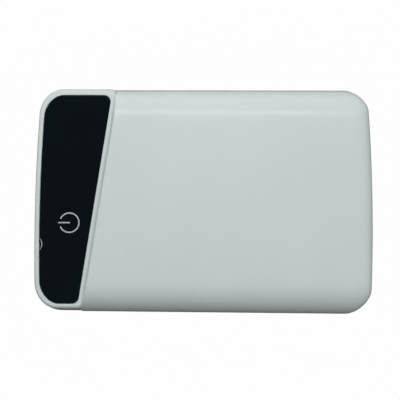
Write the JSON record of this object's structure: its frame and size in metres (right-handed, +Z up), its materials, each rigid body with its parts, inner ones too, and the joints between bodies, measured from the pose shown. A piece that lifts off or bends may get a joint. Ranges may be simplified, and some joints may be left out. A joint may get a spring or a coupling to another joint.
{
  "type": "power bank",
  "caption": "Pocket power bank with rolled long edges, a lower slanted head that carries a dark display window, charging sockets in the end and a push button in the side.",
  "frame": {"origin": "middle of the base, on the surface that the power bank rests on", "axes": "+X towards the plain tail (the sockets are at the -X end), +Y across the width away from the push button, +Z up through the display face"},
  "size_m": [0.092, 0.0614, 0.0224],
  "materials": {
    "case": "satin, finely ribbed across on the cover",
    "button": "satin",
    "window": "high gloss, back-printed black",
    "tape": "foam tape",
    "circuit_board": "solder mask",
    "socket_metal": "nickel plated",
    "socket_white": "moulded",
    "black_plastic": "moulded",
    "ferrite": "pressed ferrite",
    "capacitor": "fired",
    "screw_steel": "zinc plated",
    "nickel_strip": "rolled nickel",
    "cell_wrap": "shrink sleeve",
    "fibre": "fish paper",
    "red_wire": "silicone insulation",
    "black_wire": "silicone insulation"
  },
  "bodies": {
    "case": {"upper_shell": "case", "lower_shell": "case", "display_window": "window", "window_tape": "tape", "main_board": "circuit_board", "display_board": "circuit_board", "display_module": "black_plastic", "display_header": "black_plastic", "usb_a_shell_1": "socket_metal", "usb_a_shell_2": "socket_metal", "usb_a_tongue_1": "socket_white", "usb_a_tongue_2": "socket_white", "usb_c_shell": "socket_metal", "usb_c_tongue": "black_plastic", "tact_switch": "socket_metal", "power_inductor": "ferrite", "controller_ic": "black_plastic", "capacitor_1": "capacitor", "capacitor_2": "capacitor", "capacitor_3": "capacitor", "board_screw_1": "screw_steel", "board_screw_2": "screw_steel", "cell_1": "cell_wrap", "cell_2": "cell_wrap", "cell_3": "cell_wrap", "cell_ring_1": "fibre", "cell_ring_2": "fibre", "cell_ring_3": "fibre", "cell_insulator": "fibre", "positive_strip": "nickel_strip", "negative_strip": "nickel_strip", "positive_lead": "red_wire", "negative_lead": "black_wire"},
    "button": {"power_button": "button"},
    "plunger": {"switch_plunger": "black_plastic"}
  },
  "joints": [
    {"name": "button_press", "type": "slide", "parent": "case", "child": "button", "axis": [0, 1, 0], "range_m": [0, 0.0004], "stiffness_N_per_m": 1500, "springref_m": -0.0003},
    {"name": "plunger_press", "type": "slide", "parent": "case", "child": "plunger", "axis": [0, 1, 0], "range_m": [0, 0.0004]}
  ],
  "couplings": [
    {"joint": "plunger_press", "follows": "button_press", "ratio": 1}
  ]
}
